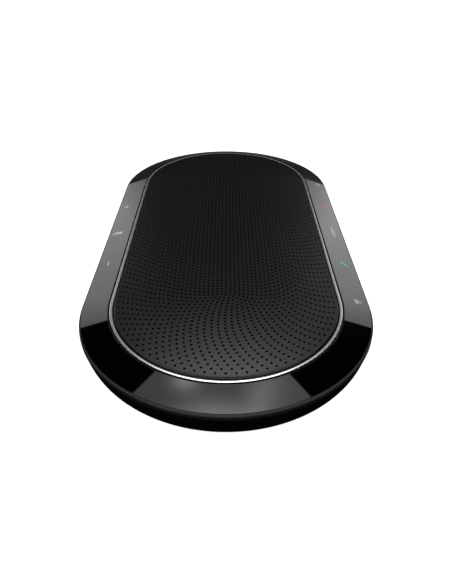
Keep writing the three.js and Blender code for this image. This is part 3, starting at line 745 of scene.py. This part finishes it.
def pierced_plane(outline, centres):
    """Triangles of a flat sheet with a polygon left open at each centre, and where each point went."""
    points = [Vector(p) for p in outline]
    owner = [-1] * len(points)
    turns = [2 * pi * (i + 0.5) / HOLE_SIDES for i in range(HOLE_SIDES)]
    for h, (x, y) in enumerate(centres):
        for turn in turns:
            points.append(Vector((x + HOLE_RADIUS * cos(turn), y + HOLE_RADIUS * sin(turn))))
            owner.append(h)
    flat, _, triangles, origin, _, _ = delaunay_2d_cdt(points, [], [], 0, 1e-9)
    owner_of = [owner[sources[0]] for sources in origin]
    kept = []
    for a, b, c in triangles:
        if owner_of[a] < 0 or not owner_of[a] == owner_of[b] == owner_of[c]:  # not inside a hole
            kept.append((a, b, c))
    return flat, kept, {sources[0]: i for i, sources in enumerate(origin)}


def grille_skirt(edge_rho):
    """The (rho, z) points of the turned-down edge, from the top face round to the underside."""
    rim = grille_high.y
    crest = rim - 0.7 * MM  # where the sheet turns down
    top = (dome_top(edge_rho) + dome_top(crest)) / 2
    bend = [(0.26, 0.3), (0.46, 0.66), (0.6, 1.0), (0.7, 1.5)]  # millimetres out and down from the crest
    inside = [(crest, grille_low.z), (crest - 0.05 * MM, dome_top(rim) - 1.4 * MM)]
    outside = [(crest, top)] + [(crest + out * MM, top - down * MM) for out, down in bend]
    return outside + [(rim, grille_low.z)] + inside


def build_grille():
    edge_rho = 61.6 * MM  # outside the last ring of holes
    outline = [on_stadium(edge_rho, 0, station)[:2] for station in STATIONS]
    centres = hole_centres()
    flat, kept, index_of = pierced_plane(outline, centres)
    count, first = len(flat), len(outline)
    vertices = []
    for depth in (0.0, SHEET):
        vertices += [(p.x, p.y, dome_top(stadium_distance(p.x, p.y)) - depth) for p in flat]
    faces = kept + [(a + count, c + count, b + count) for a, b, c in kept]
    for h in range(len(centres)):
        loop = [index_of[first + h * HOLE_SIDES + i] for i in range(HOLE_SIDES)]
        for a, b in zip(loop, loop[1:] + loop[:1]):
            faces.append((a, b, b + count, a + count))
    rows = [[index_of[i] for i in range(first)]]
    for rho, z in grille_skirt(edge_rho):
        rows.append(list(range(len(vertices), len(vertices) + first)))
        vertices += [on_stadium(rho, z, station) for station in STATIONS]
    rows.append([i + count for i in rows[0]])
    for upper, lower in zip(rows, rows[1:]):
        for i in range(first):
            j = (i + 1) % first
            faces.append((upper[i], lower[i], lower[j], upper[j]))
    mount(new_object("perforated_grille", vertices, faces, 22), "grille_metal", "grille")


# ---- Driver, radiators, microphones and chips ----

CONE_BODY = "driver_cone_body"


def revolve(node, profile, body=BODY):
    """A round piece in a node's place. Radii and heights above the node's underside are in millimetres."""
    low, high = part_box(node)
    place = upright(*(low + high).xy / 2)
    points = [(radius * MM, low.z + level * MM) for radius, level in profile]
    mount(turned(node + "_form", points, place, 72), SLOT_OF[node], node, body=body)


def plain_ring(node, inner, bevel):
    low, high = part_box(node)
    outer, height = (high.x - low.x) / 2 / MM, (high.z - low.z) / MM
    corners = [(inner, 0), (outer, 0), (outer, height), (inner, height)]
    revolve(node, rounded_profile(corners, [bevel] * 4, 3))


def build_voice_coil():
    """Turns of wire round the lower part of a thin former."""
    bore, former, wire = 7.5, 8.0, 8.2  # radii
    turns, pitch = 11, 0.42
    profile = [(bore, 0), (former, 0)]
    for i in range(turns):
        for radius, level in ((former, 0.05), (wire, 0.15), (wire, 0.27), (former, 0.37)):
            profile.append((radius, pitch * i + level))
    profile += [(former, 4.65), (7.75, 4.7), (7.75, 7.2), (bore, 7.2)]
    revolve("driver_voice_coil", profile, CONE_BODY)


def build_cone():
    """A curved paper cone with shallow ribs, and a flat edge under the surround."""
    neck, mouth, base, rise, paper = 8.6, 25.3, 0.9, 7.5, 0.6
    ribs, rib_depth, steps = 6, 0.1, 36
    face = []
    for i in range(steps + 1):
        t = i / steps
        rib = rib_depth * t * sin(2 * ribs * pi * t)
        face.append((neck + (mouth - neck) * t, base + rise * t ** 0.85 + rib))
    back = [(radius, level - paper) for radius, level in face]
    edge = [(26.5, 7.8), (26.5, 8.5), (25.6, 8.5)]
    revolve("driver_cone", back + edge + face[::-1], CONE_BODY)


def build_dust_cap():
    radius, crown, paper, steps = 12, 2.9, 0.5, 20
    dome = [(radius * i / steps, crown * (1 - (i / steps) ** 2)) for i in range(steps + 1)]
    revolve("driver_dust_cap", [(r, z + paper) for r, z in dome] + dome[::-1], CONE_BODY)


def build_radiator_plate(side):
    """A weighted plate with two shallow grooves in its face."""
    face, groove_floor = 2.7, 2.4
    corners = [(0, 0), (9, 0), (9, 1.4), (18.9, 1.4), (18.9, face)]
    radii = [0, 0.4, 0.3, 0.4, 0.4]
    for groove in (15, 9):
        for out, level in ((0.6, face), (0.3, groove_floor), (-0.3, groove_floor), (-0.6, face)):
            corners.append((groove + out, level))
    corners.append((0, face))
    radii += [0] * (len(corners) - len(radii))
    revolve(f"radiator_plate_{side}", rounded_profile(corners, radii, 4), f"radiator_{side}_body")


def build_inner_parts():
    plain_ring("driver_magnet", 10.5, 0.5)
    plain_ring("driver_top_plate", 8.7, 0.25)
    yoke = [(0, 0), (17, 0), (17, 1.8), (7.1, 1.8), (7.1, 7.2), (0, 7.2)]
    revolve("driver_yoke", rounded_profile(yoke, [0, 0.4, 0.25, 0.2, 0.4, 0], 3))
    build_voice_coil()
    build_cone()
    build_dust_cap()
    for side in ("left", "right"):
        plain_ring(f"radiator_frame_{side}", 24.2, 0.25)
        build_radiator_plate(side)
    boot = [(0, 0), (4.5, 0), (4.5, 1.8), (3, 2.3), (1, 2.3), (1, 1.2), (0, 1.2)]
    for i in range(6):
        revolve(f"microphone_{i + 1}", rounded_profile(boot, [0, 0.3, 0.35, 0.2, 0.15, 0.1, 0], 3))
    can = [(0, 0), (3.2, 0), (3.2, 0.9), (2.95, 1.2), (3.2, 1.5), (3.2, 7), (2.5, 7)]
    can += [(2.4, 6.85), (0, 6.85)]
    revolve("capacitor", rounded_profile(can, [0, 0.2, 0.1, 0.1, 0.1, 0.3, 0, 0, 0], 3))
    for node in ("codec_chip", "amplifier_chip", "wireless_module"):
        low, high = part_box(node)
        mount(rounded_box(node + "_form", low, high, 0.3 * MM, axis=2), SLOT_OF[node], node)


# ---- Suspension of the cone and the radiators ----

SUSPENSION_SHEET = 0.35 * MM
# For each surround: its body, and how far its inner edge and its roll's two feet lie inside its outer edge.
SURROUNDS = {"driver_surround": (CONE_BODY, 7.5 * MM, 6.1 * MM, 2.0 * MM)}
for side in ("left", "right"):
    SURROUNDS[f"radiator_surround_{side}"] = (f"radiator_{side}_body", 8.9 * MM, 7.1 * MM, 3.1 * MM)


def turned_sheet(name, centre, line):
    """A thin sheet: a line of (radius, height) turned round an upright axis."""
    turns, place = 72, upright(centre, 0)
    vertices, faces = [], []
    for i in range(turns):
        here, there = i * len(line), ((i + 1) % turns) * len(line)
        vertices += [place(radius, 2 * pi * i / turns, z) for radius, z in line]
        faces += [(here + p, there + p, there + p + 1, here + p + 1) for p in range(len(line) - 1)]
    sheet = new_object(name, vertices, faces, 50)
    thickness = sheet.modifiers.new("thickness", "SOLIDIFY")
    thickness.thickness = SUSPENSION_SHEET
    thickness.offset = 0
    return sheet


def suspend(sheet, slot):
    """Gives the sheet its finish and bakes its placement into its mesh."""
    sheet.data.materials.append(FINISHES[slot])
    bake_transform(sheet)


def build_surrounds():
    """Each surround is two half-rolls that meet at the crest, halfway between its two bodies."""
    for node, (body, inner_edge, inner_foot, outer_foot) in SURROUNDS.items():
        low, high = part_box(node)
        centre, outer = (low.x + high.x) / 2, (high.x - low.x) / 2
        level = low.z + SUSPENSION_SHEET / 2
        radius = (inner_foot - outer_foot) / 2
        roll = outer - outer_foot - radius
        rise, fall = arc(roll, level, radius, 0, 90, 14), arc(roll, level, radius, 90, 180, 14)
        outer_half = turned_sheet(f"{node}_outer_half", centre, [(outer, level)] + rise)
        inner_half = turned_sheet(f"{node}_inner_half", centre, fall + [(outer - inner_edge, level)])
        suspend(outer_half, "rubber")
        suspend(inner_half, "rubber")
        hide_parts(node)


def build_spider():
    """A corrugated cloth disc that rises from the basket to the voice coil."""
    low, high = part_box("driver_spider")
    inner, outer = 8.6 * MM, (high.x - low.x) / 2
    middle, rise, ripple = (low.z + high.z) / 2, 0.45 * MM, 0.22 * MM
    waves, steps = 5, 60
    line = []
    for i in range(steps + 1):
        share = i / steps
        swell = sin(pi * share) * sin(2 * pi * waves * share)
        line.append((outer + (inner - outer) * share, middle + rise * (2 * share - 1) + ripple * swell))
    spider = turned_sheet("corrugated_spider", (low.x + high.x) / 2, line)
    suspend(spider, "spider_cloth")
    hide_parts("driver_spider")


# ---- Touch symbols, printed in the gloss panel, with their outlines in millimetres ----

SYMBOL_RHO = 75.5 * MM
INLAY = 0.04 * MM


def stroke(points, width):
    """A line of the given width with round ends, as one closed outline."""
    half = width / 2
    line = [Vector(p) for p in points]
    left, right = [], []
    for i, p in enumerate(line):
        ahead = (line[min(i + 1, len(line) - 1)] - line[max(i - 1, 0)]).normalized()
        normal = Vector((-ahead.y, ahead.x)) * half
        left.append(p + normal)
        right.append(p - normal)
    start = degrees(atan2(*(line[0] - line[1]).yx))
    end = degrees(atan2(*(line[-1] - line[-2]).yx))
    end_cap = arc(*line[-1], half, end + 90, end - 90, 6)[1:-1]
    start_cap = arc(*line[0], half, start + 90, start - 90, 6)[1:-1]
    return [tuple(p) for p in left] + end_cap + [tuple(p) for p in reversed(right)] + start_cap


def handset(length, tilt, grip_width):
    """A telephone receiver: a shallow curved grip, as a share of the length, between two thicker ends."""
    radius = 0.95 * length
    sweep = degrees(asin(length / 2 / radius))
    drop = radius * cos(radians(sweep)) + 0.08 * length
    grip = stroke(arc(0, -drop, radius, 90 - sweep, 90 + sweep, 10), grip_width * length)
    tip, heel = (0.5 * length, -0.1 * length), (0.4 * length, -0.02 * length)
    ends = [stroke([(sx * x, y) for x, y in (tip, heel)], 0.17 * length) for sx in (-1, 1)]
    c, s = cos(radians(tilt)), sin(radians(tilt))
    return [[(x * c - y * s, x * s + y * c) for x, y in outline] for outline in [grip] + ends]


def microphone_off():
    capsule = stroke([(0, 0.6), (0, 2.6)], 2.0)
    cradle, stem = arc(0, 0.7, 1.9, 200, 340, 10), [(0, -1.2), (0, -2.8)]
    base, slash = [(-1.2, -3.0), (1.2, -3.0)], [(-2.1, -1.9), (2.1, 3.4)]
    return [capsule] + [stroke(line, 0.6) for line in (cradle, stem, base, slash)]


def wireless():
    low = -1.5
    dot = arc(0, low, 0.55, 0, 345, 23)
    return [dot] + [stroke(arc(0, low, radius, 48, 132, 10), 0.5) for radius in (1.3, 2.3, 3.3)]


def level_bars():
    heights, pitch = (1.0, 2.0, 3.0, 1.8, 2.6, 1.4, 0.9), 2.1
    places = [(i - 3) * pitch for i in range(len(heights))]
    return [stroke([(x, -height / 2), (x, height / 2)], 0.7) for x, height in zip(places, heights)]


def plus():
    across, up, down = [(-1.7, 0), (1.7, 0)], [(0, 0.45), (0, 1.7)], [(0, -0.45), (0, -1.7)]
    return [stroke(line, 0.6) for line in (across, up, down)]


def minus():
    return [stroke([(-1.6, 0), (1.6, 0)], 0.7)]


def power():
    return [stroke(arc(0, 0, 1.6, 125, 415, 20), 0.45), stroke([(0, 0.5), (0, 1.9)], 0.45)]


def inlay(name, outlines, side, x, material, rho=SYMBOL_RHO):
    """Thin inlays on the sloped panel. Their up direction points to the grille."""
    vertices, faces = [], []
    up = Vector((0, -side * cos(BEZEL_TILT), sin(BEZEL_TILT)))
    out = Vector((0, side * sin(BEZEL_TILT), cos(BEZEL_TILT)))
    right = Vector((-side, 0, 0))
    centre = Vector((x, side * rho, bezel_top(rho)))
    for outline in outlines:
        start, n = len(vertices), len(outline)
        for lift in (-INLAY, INLAY / 2):
            for a, b in outline:
                vertices.append(centre + right * a * MM + up * b * MM + out * lift)
        faces.append(tuple(range(start, start + n))[::-1])
        faces.append(tuple(range(start + n, start + 2 * n)))
        for i in range(n):
            j = (i + 1) % n
            faces.append((start + i, start + j, start + n + j, start + n + i))
    mount(new_object(name, vertices, faces), "gloss_black", material=material)


def build_symbols():
    """Five on the front side, three on the rear, a key pitch apart, with the photograph's small shifts."""
    white = glow("symbol_white", (0.9, 1.0, 1.0), 0.34)
    pale = glow("symbol_pale", (0.8, 0.96, 1.0), 0.3)
    red = glow("symbol_red", (1.0, 0.03, 0.1), 0.5, gloss=0.1)
    green = glow("symbol_green", (0.06, 1.0, 0.26), 0.4, gloss=0.1)
    key_pitch = HALF / 2
    inner_rho = SYMBOL_RHO - 0.8 * MM
    inlay("symbol_power", power(), -1, 2 * key_pitch, white)
    inlay("symbol_end_call", handset(6.0, 0, 0.15), -1, key_pitch, red)
    inlay("symbol_level_bars", level_bars(), -1, 1.5 * MM, pale, inner_rho)
    inlay("symbol_answer_call", handset(5.8, 45, 0.2), -1, -key_pitch + 0.8 * MM, green, inner_rho)
    inlay("symbol_wireless", wireless(), -1, -2 * key_pitch + 1.7 * MM, pale)
    inlay("symbol_volume_up", plus(), 1, key_pitch, white)
    inlay("symbol_mute", microphone_off(), 1, 0, pale)
    inlay("symbol_volume_down", minus(), 1, -key_pitch + 1.2 * MM, white, inner_rho)


# ---- Studio ----


class Sky(NodeGraph):
    """The studio's soft boxes, as bright patches in the directions of the sky. Angles are in degrees."""

    def __init__(self):
        world = bpy.data.worlds.new("studio")
        bpy.context.scene.world = world
        world.use_nodes = True
        super().__init__(world.node_tree)
        direction = self.node("TexCoord").outputs["Generated"]
        self.x, self.y, self.z = self.node("SeparateXYZ", Vector=direction).outputs
        self.azimuth = self.math("DEGREES", self.math("ARCTAN2", self.product(self.y, -1.0), self.x))
        self.elevation = self.math("DEGREES", self.math("ARCSINE", self.z))
        self.spread = self.math("ABSOLUTE", self.azimuth)

    def math(self, operation, a, b=0.0):
        node = self.node("Math")
        node.operation = operation
        self.plug(node.inputs[0], a)
        self.plug(node.inputs[1], b)
        return node.outputs[0]

    def fold(self, operation, values):
        total = values[0]
        for value in values[1:]:
            total = self.math(operation, total, value)
        return total

    def product(self, *factors):
        return self.fold("MULTIPLY", factors)

    def sum(self, *terms):
        return self.fold("ADD", terms)

    def line(self, value, slope, offset):
        return self.sum(self.product(value, slope), offset)

    def step(self, value, low, high, to_low=0.0, to_high=1.0):
        """A smooth step. It falls where low is above high."""
        ends = {"From_Min": low, "From_Max": high, "To_Min": to_low, "To_Max": to_high}
        node = self.node("MapRange", Value=value, **ends)
        node.interpolation_type = "SMOOTHSTEP"
        return node.outputs["Result"]

    def lamp(self, ahead, left, turn, length, width, level):
        """A soft elongated glow above the horizon. Its centre is the level part of a unit direction."""
        c, s = cos(radians(turn)), sin(radians(turn))
        dx, dy = self.sum(self.x, -ahead), self.sum(self.y, -left)
        along = self.sum(self.product(dx, c / length), self.product(dy, s / length))
        across = self.sum(self.product(dx, -s / width), self.product(dy, c / width))
        square = self.sum(self.product(along, along), self.product(across, across))
        bell = self.math("EXPONENT", self.product(square, -0.5))
        return self.product(bell, level, self.step(self.z, 0.0, 0.1))


WHITE = (1.0, 1.0, 1.0)
SOFT_EDGE = 0.4  # half the width of a soft box's blurred edge, in degrees


def side_boxes(sky):
    """Two tall soft boxes ahead, on the left and the right, with sloping tops."""
    brighter = sky.step(sky.spread, 18.6, 26.2, 0.55, 1.7)
    dimmer = sky.step(sky.spread, 31.0, 42.0, 1.0, 0.75)
    one_side = sky.step(sky.y, -0.5, 0.5, 1.0, 0.88)
    falling_edge = sky.math("MAXIMUM", sky.line(sky.spread, -0.8, 61.1), 24.0)
    rising_edge = sky.math("MAXIMUM", sky.line(sky.spread, 0.58, 7.5), sky.line(sky.spread, 1.5, -20.1))
    high_edge = sky.math("MINIMUM", falling_edge, rising_edge)
    above = sky.math("SUBTRACT", sky.elevation, high_edge)
    bottom = sky.step(sky.sum(sky.elevation, sky.product(sky.y, 0.5)), 12.0, 12.7)
    inward = sky.step(sky.spread, 16.6, 17.6)
    return sky.product(brighter, dimmer, one_side, inward, bottom, sky.step(above, SOFT_EDGE, -SOFT_EDGE))


def roof_and_ceiling(sky):
    """The bright roof that the grille mirrors, and the dimmer ceiling below the roof's edge."""
    sway = sky.product(sky.math("SINE", sky.math("RADIANS", sky.azimuth)), 1.68)
    above = sky.math("SUBTRACT", sky.elevation, sky.sum(sway, sky.product(sky.spread, -0.17), 69.9))
    lamps = sky.sum(
        sky.lamp(0.267, 0.209, 71, 0.047, 0.019, 3.2),
        sky.lamp(0.2, -0.16, -46, 0.104, 0.042, 1.8),
        sky.lamp(0.145, 0.0, 84, 0.2, 0.029, 3.4),
        sky.lamp(0.42, 0.0, 90, 0.12, 0.05, 1.8),
        sky.product(sky.y, -0.33),
        1.2,
    )
    roof = sky.product(sky.step(above, -SOFT_EDGE, SOFT_EDGE), lamps)
    ceiling = sky.product(
        sky.math("EXPONENT", sky.product(sky.sum(sky.elevation, -52.0), 0.1)),
        sky.step(sky.spread, 36.0, 24.0),
        sky.step(above, SOFT_EDGE, -SOFT_EDGE),
        sky.step(sky.y, -0.3, 0.3, 1.08, 0.92),
    )
    return sky.sum(roof, ceiling)


def build_world():
    sky = Sky()
    flanks = sky.sum(sky.lamp(0.775, -0.345, 0, 0.09, 0.09, 0.3), sky.lamp(0.8, 0.33, 0, 0.09, 0.07, 0.1))
    low_glow = sky.step(sky.elevation, 12.0, -12.0, 0.02, 0.06)
    far_glow = sky.product(low_glow, sky.step(sky.x, 0.5, 0.9))
    behind = sky.lamp(-0.5, 0.0, 90, 0.35, 0.18, 2.5)
    total = sky.sum(side_boxes(sky), roof_and_ceiling(sky), flanks, behind, far_glow, 0.001)
    background = sky.tree.nodes["Background"].inputs
    sky.plug(background["Strength"], total)
    sky.plug(background["Color"], (*WHITE, 1.0))


def build_stage():
    """A white floor and a white dome that only the camera sees."""
    reach, drop, sides = 6.0, -0.5, 48
    square = [(-reach, -reach, 0), (reach, -reach, 0), (reach, reach, 0), (-reach, reach, 0)]
    floor = new_object("floor", square, [(0, 1, 2, 3)])
    paper = Finish("floor_paper", [0.4] * 3, 0.9).vary_color([0.39] * 3, [0.41] * 3, 3)
    floor.data.materials.append(paper.emit(WHITE, 0.9).material)
    floor.visible_glossy = False
    floor.visible_diffuse = False
    ring = arc(0, 0, reach, 0, 360, sides)[:-1]
    vertices = [(x, y, z) for z in (drop, reach) for x, y in ring] + [(0, 0, reach)]
    faces = [(i, (i + 1) % sides, sides + (i + 1) % sides, sides + i) for i in range(sides)]
    faces += [(sides + i, sides + (i + 1) % sides, 2 * sides) for i in range(sides)]
    backdrop = new_object("backdrop", vertices, faces)
    backdrop.data.materials.append(Finish("backdrop_paper", 0.0, 1.0).emit(WHITE, 1.0).material)
    for ray in ("visible_diffuse", "visible_glossy", "visible_transmission", "visible_shadow"):
        setattr(backdrop, ray, False)


def build_lights():
    data = bpy.data.lights.new("overhead", "SUN")
    data.energy = 0.5
    data.angle = radians(60)
    overhead = bpy.data.objects.new("overhead", data)
    overhead.visible_glossy = False
    bpy.context.scene.collection.objects.link(overhead)


def build_camera():
    """The photograph's camera, before the near end and above it, looking along +X."""
    back, above, tilt = 320.2 * MM, 179.4 * MM, 35.42  # from the centre, over the rim, and degrees down
    data = bpy.data.cameras.new("camera")
    data.sensor_width = 36.0
    data.lens = 32.19
    camera = bpy.data.objects.new("camera", data)
    camera.location = (-back, 0, RIM_TOP + above)
    camera.rotation_euler = (radians(90 - tilt), 0, radians(-90))
    bpy.context.scene.collection.objects.link(camera)
    bpy.context.scene.camera = camera


build_camera()
dress_frame()
build_bezel()
build_chrome_ring()
build_mid_frame()
build_housing()
build_sockets()
build_foot_ring()
build_label()
build_screws()
build_grille()
build_inner_parts()
build_surrounds()
build_spider()
build_symbols()
build_world()
build_stage()
build_lights()
bpy.context.scene.view_settings.view_transform = "Standard"
